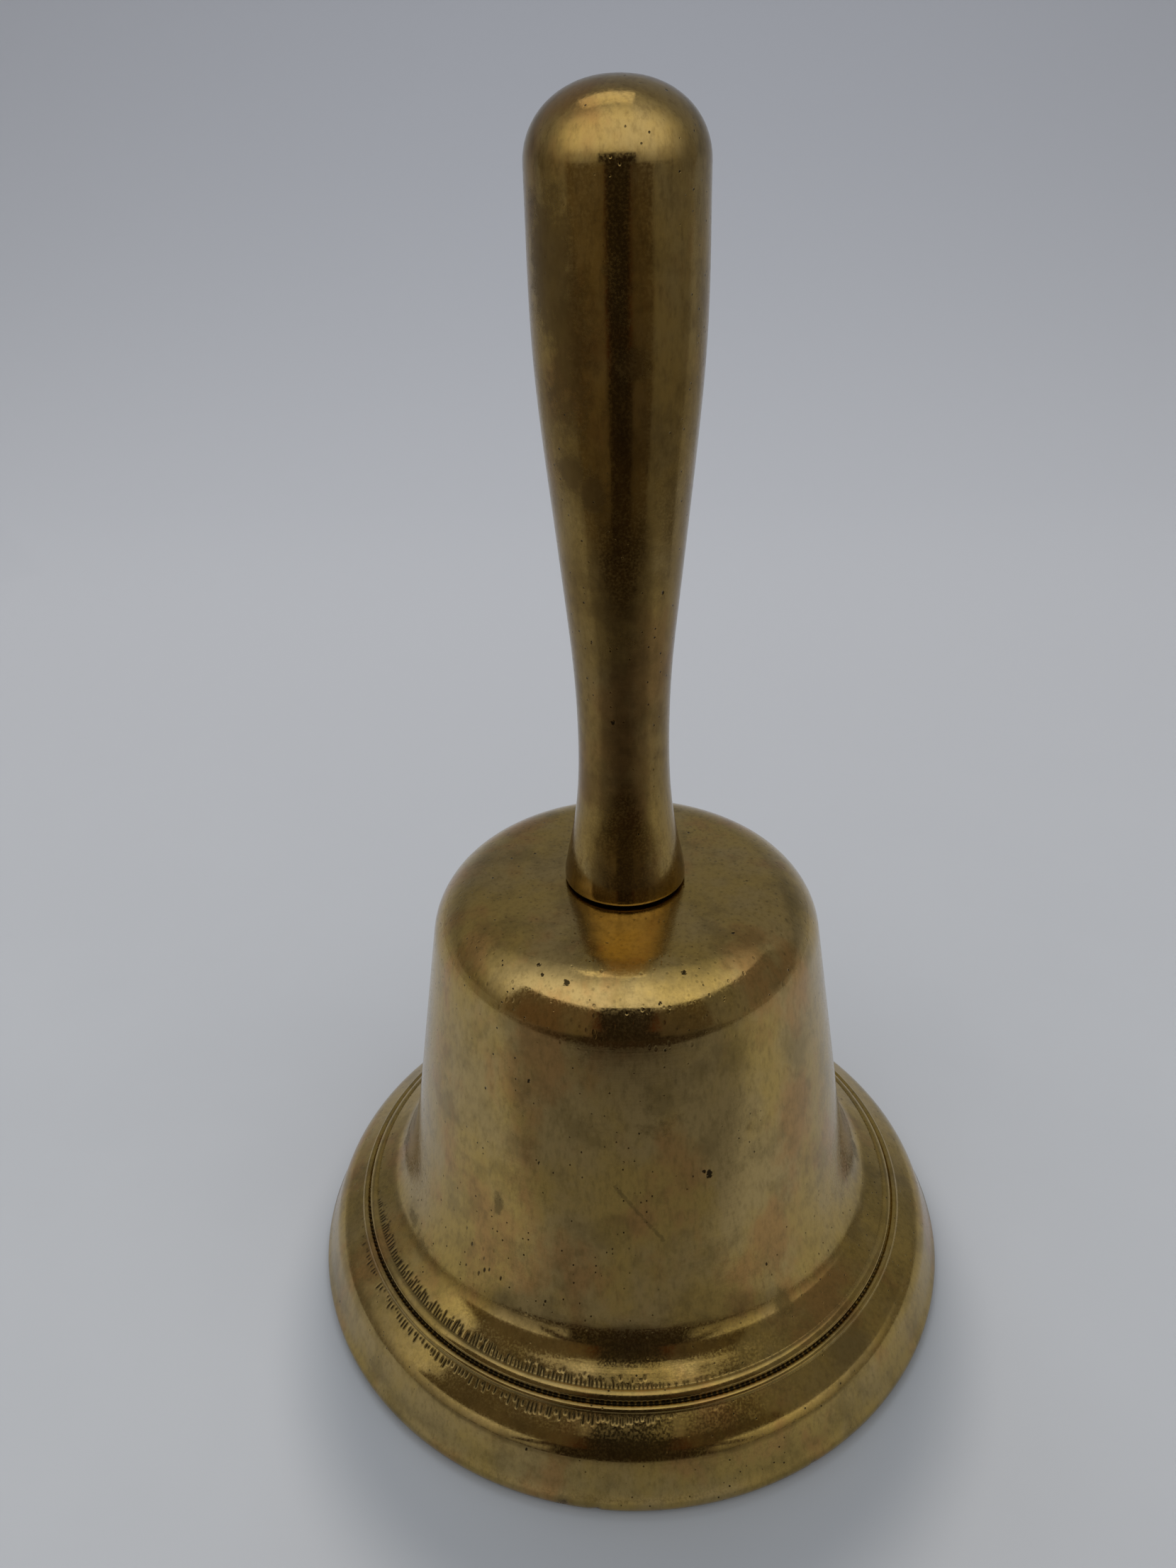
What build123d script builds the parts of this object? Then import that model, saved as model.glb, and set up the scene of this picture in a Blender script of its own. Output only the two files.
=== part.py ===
from build123d import *
import math
import os

# Brass hand bell that stands on its mouth. Millimetres, +Z up.
# Origin: centre of the mouth, on the plane that the rim rests on.

# ---- Driving dimensions -------------------------------------------------
RIM_FLAT_R = 49.3        # outer edge of the flat ring that the bell rests on
RIM_BULGE = (50.4, 1.2)  # widest point of the mouth (radius, height)
LIP_START = (50.0, 2.7)  # where the steep lip begins
LIP_END = (48.2, 7.4)    # where the lip turns over into the flare
FLARE_START = (46.0, 10.1)
FLARE_END = (38.4, 15.0)
CROWN_Z = 69.65          # flat top of the bell
SHOULDER_R = 9.0         # radius of the round shoulder
WAIST_LOW = (32.3, 33.0)
WAIST_TOP = (28.1, 59.5)
COVE_LOW_PULL = 3.5      # how far the cove follows the flare's line before it turns up
COVE_HIGH_PULL = 10.0    # how far below WAIST_LOW it starts to leave the waist's line
CROWN_THICK = 4.0
WAIST_THICK = 3.0
MOUTH_THICK = 3.9
RIM_EXTRA = 0.3          # the rim's wall over MOUTH_THICK
INNER_COVE = [(30.35, 25.0), (32.0, 18.2)]  # (radius, height) where the inside opens out
INNER_RIM_DIR = (0.2, -1)  # the inside's direction where it reaches the rim
CROWN_HOLE_R = 3.2

GROOVE_AT = 4.15         # distance of the reed groove from FLARE_START
GROOVE_HALF = 0.18
GROOVE_DEPTH = 0.3
REED_RISE = 0.28
LOWER_REED = 1.25        # width of the reed on the mouth side of the groove
UPPER_REED = 1.75        # width of the reed on the waist side

HANDLE_BASE_Z = 70.0
HANDLE_DOME_Z = 159.4    # where the handle's side turns into its domed end
HANDLE_TOP_Z = 167.7
HANDLE_MAX_R = 10.05
HANDLE_FOOT_R = 8.5
DOME_FULLNESS = 0.58     # 0.552 would be a plain ellipse
HANDLE_SIDE = [          # (radius, height) from the foot up to the dome
    (8.16, 73.0),
    (6.83, 80.0),
    (6.11, 92.5),
    (6.46, 102.5),
    (7.34, 112.5),
    (8.31, 122.5),
    (9.27, 132.5),
    (9.95, 142.5),
]
FOOT_EDGE = 0.35         # rounding of the handle's lower edge

STUD_R = 3.0
THREAD_GAP = 0.02        # clearance left between plain-modelled threads
STUD_TOP_Z = 89.0
STUD_BEVEL = 0.5
HANDLE_BORE_TOP_Z = 92.0
FOOT_WASHER_R = 7.2

WASHER_R = 9.0
WASHER_THICK = 1.0
LOCK_R = 5.0
LOCK_THICK = 1.2
LOCK_SPLIT = 1.0
LOCK_SLANT = 25.0        # the split's angle in degrees
NUT_FLATS = 10.0
NUT_HEIGHT = 4.5
NUT_BEVEL = 30.0         # slope in degrees of a nut's turned-off corners
HOLE_PLAY = 0.2          # washers' holes over the stud's radius

PIVOT_Z = 51.5
FORK_TOP_Z = 58.4
FORK_R = 5.6
FORK_FLAT = 4.9          # half width over the fork's milled flats
SLOT_HALF = 2.15
SLOT_TOP = 5.0           # slot's height above the pivot
EAR_R = 4.7
PIN_R = 1.75
PIN_HEAD_R = 2.7
PIN_HEAD_RISE = 0.9
EYE_R = 4.0
EYE_HALF = 1.95
EYE_PLAY = 0.05          # running clearance of the eye on its pin
SHANK_INTO_EYE = 1.0     # how far the rod's shank runs into the eye

ROD_R = 1.9
TAIL_R = 1.5
BALL_R = 8.5
BALL_Z = 13.5
BALL_FLAT_R = 2.6        # radius of the small flats above and below the ball
BALL_NUT_FLATS = 5.5
BALL_NUT_HEIGHT = 2.3
PAST = 50.0              # size of cutters that pass right through a piece


# ---- Helpers ------------------------------------------------------------
def turned(outline):
    """Turn a closed outline in the XZ plane round the Z axis."""
    with BuildPart() as body:
        with BuildSketch(Plane.XZ):
            add(outline)
            make_face()
        revolve(axis=Axis.Z)
    return body.part


def bar(radius, height):
    """A cylinder that stands on the XY plane."""
    return Cylinder(radius, height, align=(Align.CENTER, Align.CENTER, Align.MIN))


def ring(outer_r, inner_r, low_z, height):
    """A flat washer-shaped ring."""
    return Pos(0, 0, low_z) * (bar(outer_r, height) - bar(inner_r, height))


def hex_nut(flats, bore_r, low_z, height):
    """A hexagon nut with its corners turned off at both faces."""
    corner_r = flats / math.sqrt(3)
    corner_depth = corner_r - flats / 2
    prism = extrude(RegularPolygon(corner_r, 6), height)
    rims = bar(corner_r, height).edges().filter_by(GeomType.CIRCLE)
    turned_off = chamfer(rims, corner_depth * math.tan(math.radians(NUT_BEVEL)), corner_depth)
    return Pos(0, 0, low_z) * ((prism & turned_off) - bar(bore_r, height))


def offset_point(point, normal_deg, distance):
    """Move a profile point inwards, against its outward normal."""
    angle = math.radians(normal_deg)
    return (point[0] - distance * math.cos(angle), point[1] - distance * math.sin(angle))


def direction(start, end):
    """Unit direction from one profile point to another."""
    length = math.dist(start, end)
    return ((end[0] - start[0]) / length, (end[1] - start[1]) / length)


def move(point, way, distance):
    """A profile point moved along a direction."""
    return (point[0] + distance * way[0], point[1] + distance * way[1])


def on_flare(distance, rise=0.0):
    """A point on the flare, measured from FLARE_START towards the waist."""
    outward = (FLARE_DIR[1], -FLARE_DIR[0])
    return move(move(FLARE_START, FLARE_DIR, distance), outward, rise)


# ---- Bell ---------------------------------------------------------------
FLARE_DIR = direction(FLARE_START, FLARE_END)
WAIST_DIR = direction(WAIST_LOW, WAIST_TOP)
WAIST_LEAN = math.degrees(math.asin(-WAIST_DIR[0]))
FLARE_NORMAL = math.degrees(math.atan2(-FLARE_DIR[0], FLARE_DIR[1]))


def shoulder(thickness):
    """Centre and radius of the shoulder's arc, and where it meets the waist."""
    lean = math.radians(WAIST_LEAN)
    centre_z = CROWN_Z - SHOULDER_R
    inward = (SHOULDER_R - (WAIST_TOP[1] - centre_z) * math.sin(lean)) / math.cos(lean)
    centre_r = WAIST_TOP[0] - inward
    radius = SHOULDER_R - thickness
    meets = (centre_r + radius * math.cos(lean), centre_z + radius * math.sin(lean))
    return centre_r, centre_z, radius, meets


def outer_profile():
    """The outside of the bell, from the rim up to the crown hole."""
    centre_r, centre_z, radius, meets = shoulder(0)
    middle = math.radians((90 + WAIST_LEAN) / 2)
    lower_edge = GROOVE_AT - LOWER_REED
    upper_edge = GROOVE_AT + UPPER_REED
    low_side = GROOVE_AT - GROOVE_HALF
    high_side = GROOVE_AT + GROOVE_HALF
    return [
        ThreePointArc((RIM_FLAT_R, 0), RIM_BULGE, LIP_START),
        Line(LIP_START, LIP_END),
        TangentArc(LIP_END, FLARE_START, tangent=direction(LIP_START, LIP_END)),
        Line(FLARE_START, on_flare(lower_edge)),
        ThreePointArc(
            on_flare(lower_edge), on_flare((lower_edge + low_side) / 2, REED_RISE), on_flare(low_side)
        ),
        ThreePointArc(on_flare(low_side), on_flare(GROOVE_AT, -GROOVE_DEPTH), on_flare(high_side)),
        ThreePointArc(
            on_flare(high_side), on_flare((upper_edge + high_side) / 2, REED_RISE), on_flare(upper_edge)
        ),
        Line(on_flare(upper_edge), FLARE_END),
        Bezier(
            FLARE_END,
            move(FLARE_END, FLARE_DIR, COVE_LOW_PULL),
            move(WAIST_LOW, WAIST_DIR, -COVE_HIGH_PULL),
            WAIST_LOW,
        ),
        Line(WAIST_LOW, meets),
        ThreePointArc(
            meets,
            (centre_r + radius * math.cos(middle), centre_z + radius * math.sin(middle)),
            (centre_r, CROWN_Z),
        ),
        Line((centre_r, CROWN_Z), (CROWN_HOLE_R, CROWN_Z)),
    ]


def inner_profile():
    """The inside of the bell, from the crown hole down to the rim."""
    under_crown = CROWN_Z - CROWN_THICK
    centre_r, _, _, corner = shoulder(WAIST_THICK)
    waist_low = offset_point(WAIST_LOW, WAIST_LEAN, WAIST_THICK)
    flare_end = offset_point(FLARE_END, FLARE_NORMAL, MOUTH_THICK)
    flare_start = offset_point(FLARE_START, FLARE_NORMAL, MOUTH_THICK)
    rim_in = (RIM_BULGE[0] - MOUTH_THICK - RIM_EXTRA, 0)
    down_waist = direction(WAIST_TOP, WAIST_LOW)
    down_flare = direction(FLARE_END, FLARE_START)
    return [
        Line((CROWN_HOLE_R, CROWN_Z), (CROWN_HOLE_R, under_crown)),
        Line((CROWN_HOLE_R, under_crown), (centre_r, under_crown)),
        Spline([(centre_r, under_crown), corner], tangents=[(1, 0), down_waist]),
        Line(corner, waist_low),
        Spline([waist_low] + INNER_COVE + [flare_end], tangents=[down_waist, down_flare]),
        Line(flare_end, flare_start),
        Spline([flare_start, rim_in], tangents=[down_flare, INNER_RIM_DIR]),
        Line(rim_in, (RIM_FLAT_R, 0)),
    ]


def make_bell_shell():
    """The cast and turned bell, open at the mouth, with a hole in its crown."""
    return turned(Curve() + outer_profile() + inner_profile())


# ---- Handle -------------------------------------------------------------
def make_handle():
    """The solid turned handle, with a blind tapped hole in its foot."""
    dome = HANDLE_TOP_Z - HANDLE_DOME_Z
    foot_side = (HANDLE_FOOT_R, HANDLE_BASE_Z + FOOT_EDGE)
    side = [foot_side] + HANDLE_SIDE + [(HANDLE_MAX_R, HANDLE_DOME_Z)]
    outline = Curve() + [
        Line((0, HANDLE_BASE_Z), (HANDLE_FOOT_R - FOOT_EDGE, HANDLE_BASE_Z)),
        TangentArc((HANDLE_FOOT_R - FOOT_EDGE, HANDLE_BASE_Z), foot_side, tangent=(1, 0)),
        Spline(side, tangents=[(0, 1), (0, 1)]),
        Bezier(
            (HANDLE_MAX_R, HANDLE_DOME_Z),
            (HANDLE_MAX_R, HANDLE_DOME_Z + DOME_FULLNESS * dome),
            (DOME_FULLNESS * HANDLE_MAX_R, HANDLE_TOP_Z),
            (0, HANDLE_TOP_Z),
        ),
        Line((0, HANDLE_TOP_Z), (0, HANDLE_BASE_Z)),
    ]
    bore = bar(STUD_R + THREAD_GAP, HANDLE_BORE_TOP_Z - HANDLE_BASE_Z)
    return turned(outline) - Pos(0, 0, HANDLE_BASE_Z) * bore


def make_foot_washer():
    """Thin fibre washer between the crown and the handle's foot."""
    return ring(FOOT_WASHER_R, STUD_R + HOLE_PLAY, CROWN_Z, HANDLE_BASE_Z - CROWN_Z)


# ---- Fixing under the crown ---------------------------------------------
WASHER_Z = CROWN_Z - CROWN_THICK - WASHER_THICK
LOCK_Z = WASHER_Z - LOCK_THICK
NUT_Z = LOCK_Z - NUT_HEIGHT


def make_crown_washer():
    return ring(WASHER_R, STUD_R + HOLE_PLAY, WASHER_Z, WASHER_THICK)


def make_lock_washer():
    """Spring washer: a ring with one slanting cut."""
    whole = ring(LOCK_R, STUD_R + HOLE_PLAY, LOCK_Z, LOCK_THICK)
    middle = Pos(LOCK_R, 0, LOCK_Z + LOCK_THICK / 2)
    return whole - middle * Rot(LOCK_SLANT, 0, 0) * Box(2 * (LOCK_R - STUD_R + HOLE_PLAY), LOCK_SPLIT, PAST)


def make_crown_nut():
    return hex_nut(NUT_FLATS, STUD_R + THREAD_GAP, NUT_Z, NUT_HEIGHT)


# ---- Clapper hanger -----------------------------------------------------
def make_hanger_fork():
    """Stud with a slotted head that carries the clapper's pivot pin."""
    stud = Pos(0, 0, FORK_TOP_Z) * bar(STUD_R, STUD_TOP_Z - FORK_TOP_Z)
    stud = chamfer(stud.edges().group_by(Axis.Z)[-1], STUD_BEVEL)
    head_low = PIVOT_Z - EAR_R
    head = Pos(0, 0, head_low) * bar(FORK_R, FORK_TOP_Z - head_low)
    head = head & Box(2 * FORK_FLAT, PAST, 2 * FORK_TOP_Z)
    slot = Pos(0, 0, PIVOT_Z + SLOT_TOP) * Box(
        2 * SLOT_HALF, PAST, PAST, align=(Align.CENTER, Align.CENTER, Align.MAX)
    )
    above = Box(PAST, PAST, PAST, align=(Align.CENTER, Align.CENTER, Align.MIN))
    rounding = Pos(0, 0, PIVOT_Z) * (Rot(0, 90, 0) * Cylinder(EAR_R, PAST) + above)
    pin_hole = Pos(0, 0, PIVOT_Z) * Rot(0, 90, 0) * Cylinder(PIN_R + THREAD_GAP, PAST)
    return stud + (head & rounding) - slot - pin_hole


def make_pivot_pin():
    """Rivet through the fork, with a low domed head at each end."""
    tip = FORK_FLAT + PIN_HEAD_RISE
    outline = Curve() + [
        Line((0, -tip), (0, tip)),
        TangentArc((0, tip), (PIN_HEAD_R, FORK_FLAT), tangent=(1, 0)),
        Line((PIN_HEAD_R, FORK_FLAT), (PIN_R, FORK_FLAT)),
        Line((PIN_R, FORK_FLAT), (PIN_R, -FORK_FLAT)),
        Line((PIN_R, -FORK_FLAT), (PIN_HEAD_R, -FORK_FLAT)),
        TangentArc((0, -tip), (PIN_HEAD_R, -FORK_FLAT), tangent=(1, 0)),
    ]
    return Pos(0, 0, PIVOT_Z) * Rot(0, 90, 0) * turned(outline)


# ---- Clapper ------------------------------------------------------------
BALL_FLAT_Z = math.sqrt(BALL_R ** 2 - BALL_FLAT_R ** 2)
BALL_TOP_Z = BALL_Z + BALL_FLAT_Z
BALL_LOW_Z = BALL_Z - BALL_FLAT_Z


def make_clapper_rod():
    """Rod with a flat-sided eye on top and a thinner tail through the ball."""
    eye = Rot(0, 90, 0) * (Cylinder(EYE_R, 2 * EYE_HALF) - Cylinder(PIN_R + EYE_PLAY, PAST))
    shank_top = PIVOT_Z - EYE_R + SHANK_INTO_EYE
    shank = Pos(0, 0, BALL_TOP_Z) * bar(ROD_R, shank_top - BALL_TOP_Z)
    tail_low = BALL_LOW_Z - BALL_NUT_HEIGHT
    tail = Pos(0, 0, tail_low) * bar(TAIL_R, BALL_TOP_Z - tail_low)
    return Pos(0, 0, PIVOT_Z) * eye + shank + tail


def make_clapper_ball():
    """Ball with a small flat above and below, bored for the rod's tail."""
    ball = Sphere(BALL_R) & Cylinder(BALL_R, 2 * BALL_FLAT_Z)
    return Pos(0, 0, BALL_Z) * (ball - Cylinder(TAIL_R + THREAD_GAP, PAST))


def make_ball_nut():
    low = BALL_LOW_Z - BALL_NUT_HEIGHT
    return hex_nut(BALL_NUT_FLATS, TAIL_R + THREAD_GAP, low, BALL_NUT_HEIGHT)


# ---- Write one STEP per piece -------------------------------------------
PIECES = {
    "bell_shell": make_bell_shell,
    "handle": make_handle,
    "foot_washer": make_foot_washer,
    "crown_washer": make_crown_washer,
    "lock_washer": make_lock_washer,
    "crown_nut": make_crown_nut,
    "hanger_fork": make_hanger_fork,
    "pivot_pin": make_pivot_pin,
    "clapper_rod": make_clapper_rod,
    "clapper_ball": make_clapper_ball,
    "ball_nut": make_ball_nut,
}

os.makedirs("parts", exist_ok=True)
for name, make in PIECES.items():
    export_step(make(), f"parts/{name}.step")
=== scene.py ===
"""Brass hand bell standing on its mouth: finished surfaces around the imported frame. Metres."""
import math

import bpy
import numpy as np
from mathutils import Matrix, Vector


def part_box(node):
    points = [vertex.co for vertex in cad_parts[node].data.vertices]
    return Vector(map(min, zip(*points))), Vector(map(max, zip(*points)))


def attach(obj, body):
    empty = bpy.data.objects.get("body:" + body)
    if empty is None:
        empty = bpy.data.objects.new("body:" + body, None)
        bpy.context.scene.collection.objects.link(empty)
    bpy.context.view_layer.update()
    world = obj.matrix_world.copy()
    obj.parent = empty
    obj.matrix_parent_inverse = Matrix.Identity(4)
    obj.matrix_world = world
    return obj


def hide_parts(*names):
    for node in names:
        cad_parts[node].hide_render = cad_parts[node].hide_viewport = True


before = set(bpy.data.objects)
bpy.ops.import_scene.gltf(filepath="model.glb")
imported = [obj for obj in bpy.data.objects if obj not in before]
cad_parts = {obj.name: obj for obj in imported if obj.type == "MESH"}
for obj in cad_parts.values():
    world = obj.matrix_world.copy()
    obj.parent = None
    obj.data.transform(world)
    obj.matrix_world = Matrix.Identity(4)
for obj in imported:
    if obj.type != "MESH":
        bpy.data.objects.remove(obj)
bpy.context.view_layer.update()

MM = 0.001
rng = np.random.default_rng(7)

# ---- Sizes from the frame, in millimetres --------------------------------
SHELL_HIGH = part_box("bell_shell")[1]
HANDLE_LOW, HANDLE_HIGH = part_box("handle")
MOUTH_R = SHELL_HIGH.x / MM
CROWN_Z = SHELL_HIGH.z / MM
FOOT_Z = HANDLE_LOW.z / MM
TOP_Z = HANDLE_HIGH.z / MM

# Outline of the bell: (radius, height), the same shape that the frame's solid has
RIM_FLAT_R = 49.3
RIM_BULGE = (50.4, 1.2)
LIP_START = (50.0, 2.7)
LIP_END = (48.2, 7.4)
FLARE_START = (46.0, 10.1)
FLARE_END = (38.4, 15.0)
WAIST_LOW = (32.3, 33.0)
WAIST_TOP = (28.1, 59.5)
SHOULDER_R = 9.0
CROWN_THICK = 4.0
WAIST_THICK = 3.0
MOUTH_THICK = 3.9
CROWN_HOLE_R = 3.2
GROOVE_AT = 4.15
GROOVE_HALF = 0.18
GROOVE_DEPTH = 0.3
REED_RISE = 0.28
LOWER_REED = 1.25
UPPER_REED = 1.75
COVE_PULL = (3.5, 10.0)
BAND_LOW = 0.9           # the finely meshed band, measured along the flare from FLARE_START
BAND_HIGH = 8.3

# Outline of the handle
HANDLE_SIDE = [(8.5, 70.35), (8.16, 73.0), (6.83, 80.0), (6.11, 92.5), (6.46, 102.5),
               (7.34, 112.5), (8.31, 122.5), (9.27, 132.5), (9.95, 142.5), (10.05, 159.4)]
DOME_POWER = 2.1
FOOT_EDGE = 0.35
BORE_R = 3.02
BORE_TOP_Z = 92.0
TIP_R = 0.02             # the last ring of vertices, where the outline would meet the axis
HANDLE_STEP = 2.0        # degrees between the handle's vertices
WAVE_ROOM = 0.04         # the uneven handle is made this much thinner, to stay in its solid


# ---- Outlines -------------------------------------------------------------
def line(a, b, steps):
    """Points from a up to, but not including, b."""
    t = np.arange(steps)[:, None] / steps
    return np.array(a) + t * (np.array(b) - np.array(a))


def bezier(a, b, c, d, steps):
    """A cubic curve from a towards d, without its last point."""
    t = np.arange(steps)[:, None] / steps
    a, b, c, d = (np.array(p, float) for p in (a, b, c, d))
    return (1 - t) ** 3 * a + 3 * t * (1 - t) ** 2 * b + 3 * t ** 2 * (1 - t) * c + t ** 3 * d


def arc_through(a, m, b, steps):
    """A circular arc from a through m towards b, without its last point."""
    (ax, ay), (mx, my), (bx, by) = a, m, b
    d = 2 * (ax * (my - by) + mx * (by - ay) + bx * (ay - my))
    sa, sm, sb = ax * ax + ay * ay, mx * mx + my * my, bx * bx + by * by
    cx = (sa * (my - by) + sm * (by - ay) + sb * (ay - my)) / d
    cy = (sa * (bx - mx) + sm * (ax - bx) + sb * (mx - ax)) / d
    radius = math.hypot(ax - cx, ay - cy)
    start, middle, end = (math.atan2(y - cy, x - cx) for x, y in (a, m, b))
    sweep = (end - start) % (2 * math.pi)
    if (middle - start) % (2 * math.pi) > sweep:
        sweep -= 2 * math.pi
    angle = start + sweep * np.arange(steps) / steps
    return np.stack([cx + radius * np.cos(angle), cy + radius * np.sin(angle)], -1)


def smooth_line(points, steps, start=None, end=None):
    """A cubic spline through the points, with the given end directions, without its last point."""
    p = np.array(points, float)
    gaps = np.linalg.norm(np.diff(p, axis=0), axis=1)
    count = len(p)
    system = np.zeros((count, count))
    wanted = np.zeros((count, 2))
    for i in range(1, count - 1):
        before, after = gaps[i - 1], gaps[i]
        system[i, i - 1:i + 2] = after, 2 * (before + after), before
        wanted[i] = 3 * (after * (p[i] - p[i - 1]) / before + before * (p[i + 1] - p[i]) / after)
    system[0, 0] = system[-1, -1] = 1
    wanted[0] = start
    wanted[-1] = end
    slope = np.linalg.solve(system, wanted)
    rows = []
    for i in range(count - 1):
        a, b = p[i], p[i + 1]
        rows.append(bezier(a, a + slope[i] * gaps[i] / 3, b - slope[i + 1] * gaps[i] / 3, b, steps))
    return np.concatenate(rows)


def unit(v):
    return np.array(v, float) / np.linalg.norm(v)


FLARE_DIR = unit(np.subtract(FLARE_END, FLARE_START))
FLARE_OUT = np.array([FLARE_DIR[1], -FLARE_DIR[0]])
WAIST_DIR = unit(np.subtract(WAIST_TOP, WAIST_LOW))
WAIST_LEAN = math.asin(-WAIST_DIR[0])


def on_flare(distance):
    """A point on the flare, measured from FLARE_START towards the waist."""
    return tuple(np.array(FLARE_START) + distance * FLARE_DIR)


def shoulder(thickness):
    """Centre and radius of the shoulder's arc, and where it meets the waist."""
    centre_z = CROWN_Z - SHOULDER_R
    centre_r = WAIST_TOP[0] - (
        SHOULDER_R - (WAIST_TOP[1] - centre_z) * math.sin(WAIST_LEAN)
    ) / math.cos(WAIST_LEAN)
    radius = SHOULDER_R - thickness
    meets = (centre_r + radius * math.cos(WAIST_LEAN), centre_z + radius * math.sin(WAIST_LEAN))
    return centre_r, centre_z, radius, meets


def set_in(point, outward, distance):
    return tuple(np.array(point) - distance * np.array(outward))


def shell_outside():
    """Outside of the bell, below its reeded band from the rim, and above it to the crown hole."""
    centre_r, centre_z, radius, meets = shoulder(0)
    middle = math.radians(45) + WAIST_LEAN / 2
    top = (centre_r + radius * math.cos(middle), centre_z + radius * math.sin(middle))
    turn = smooth_line([LIP_END, FLARE_START], 10,
                       unit(np.subtract(LIP_END, LIP_START)), FLARE_DIR)
    below = np.concatenate([
        arc_through((RIM_FLAT_R, 0), RIM_BULGE, LIP_START, 7),
        line(LIP_START, LIP_END, 3),
        turn,
        line(FLARE_START, on_flare(BAND_LOW), 1),
    ])
    cove = bezier(FLARE_END, np.array(FLARE_END) + COVE_PULL[0] * FLARE_DIR,
                  np.array(WAIST_LOW) - COVE_PULL[1] * WAIST_DIR, WAIST_LOW, 20)
    above = np.concatenate([
        line(on_flare(BAND_HIGH), FLARE_END, 1),
        cove,
        line(WAIST_LOW, meets, 5),
        arc_through(meets, top, (centre_r, CROWN_Z), 16),
        line((centre_r, CROWN_Z), (CROWN_HOLE_R, CROWN_Z), 5),
    ])
    return below, above


def shell_inside():
    """Inside of the bell, from the crown hole down to the rim."""
    under = CROWN_Z - CROWN_THICK
    centre_r, _, radius, corner = shoulder(WAIST_THICK)
    waist_out = np.array([math.cos(WAIST_LEAN), math.sin(WAIST_LEAN)])
    waist_low = set_in(WAIST_LOW, waist_out, WAIST_THICK)
    flare_end = set_in(FLARE_END, FLARE_OUT, MOUTH_THICK)
    flare_start = set_in(FLARE_START, FLARE_OUT, MOUTH_THICK)
    rim_in = (RIM_BULGE[0] - MOUTH_THICK - 0.3, 0.0)
    return np.concatenate([
        line((CROWN_HOLE_R, CROWN_Z), (CROWN_HOLE_R, under), 1),
        line((CROWN_HOLE_R, under), (centre_r, under), 2),
        smooth_line([(centre_r, under), corner], 6, (1, 0), -WAIST_DIR),
        line(corner, waist_low, 2),
        smooth_line([waist_low, (30.35, 25.0), (32.0, 18.2), flare_end], 3, -WAIST_DIR, -FLARE_DIR),
        line(flare_end, flare_start, 1),
        smooth_line([flare_start, rim_in], 5, -FLARE_DIR, unit((0.2, -1))),
        line(rim_in, (RIM_FLAT_R, 0), 1),
    ])


# ---- Turned meshes --------------------------------------------------------
def turned_mesh(rows, angles, coarse, fine_rows):
    """Vertices and faces of a closed outline turned round Z.

    rows holds (radius, height) in millimetres, and the last row joins the first. Rows in
    fine_rows have a vertex at every angle, and the others only at the angles in coarse.
    """
    fine = set(fine_rows)
    used = [np.arange(len(angles)) if i in fine else coarse for i in range(len(rows))]
    starts = np.concatenate([[0], np.cumsum([len(u) for u in used])])
    faces = []
    for i in range(len(rows)):
        j = (i + 1) % len(rows)
        a, b = starts[i], starts[j]
        if len(used[i]) == len(used[j]):
            n = len(used[i])
            k = np.arange(n)
            m = (k + 1) % n
            faces += np.stack([a + k, a + m, b + m, b + k], -1).tolist()
            continue
        n, total = len(coarse), len(angles)
        for k in range(n):
            low, high = coarse[k], coarse[(k + 1) % n] or total
            many = [c % total for c in range(low, high + 1)]
            if i in fine:
                faces.append([a + c for c in many] + [b + (k + 1) % n, b + k])
            else:
                faces.append([a + k, a + (k + 1) % n] + [b + c for c in reversed(many)])
    row_of = np.concatenate([np.full(len(u), i) for i, u in enumerate(used)])
    angle_of = np.concatenate([angles[u] for u in used])
    return row_of, angle_of, faces


def outward(rows):
    """Outward normal of each row of a closed outline that runs with the solid on its left."""
    ahead = np.roll(rows, -1, 0) - np.roll(rows, 1, 0)
    normal = np.stack([ahead[:, 1], -ahead[:, 0]], -1)
    return normal / np.maximum(np.linalg.norm(normal, axis=1)[:, None], 1e-9)


def make_piece(name, points, faces, paints, body, slot, material, *nodes):
    """A smooth mesh object in metres, with its painted values, on its CAD body."""
    mesh = bpy.data.meshes.new(name)
    mesh.from_pydata((np.asarray(points) * MM).tolist(), [], faces)
    mesh.polygons.foreach_set("use_smooth", np.ones(len(mesh.polygons), bool))
    for key, values in paints.items():
        attribute = mesh.attributes.new(key, "FLOAT", "POINT")
        attribute.data.foreach_set("value", np.asarray(values, np.float32))
    mesh.materials.append(material)
    mesh.update()
    piece = bpy.data.objects.new(name, mesh)
    bpy.context.scene.collection.objects.link(piece)
    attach(piece, body)
    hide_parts(*nodes)


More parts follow.
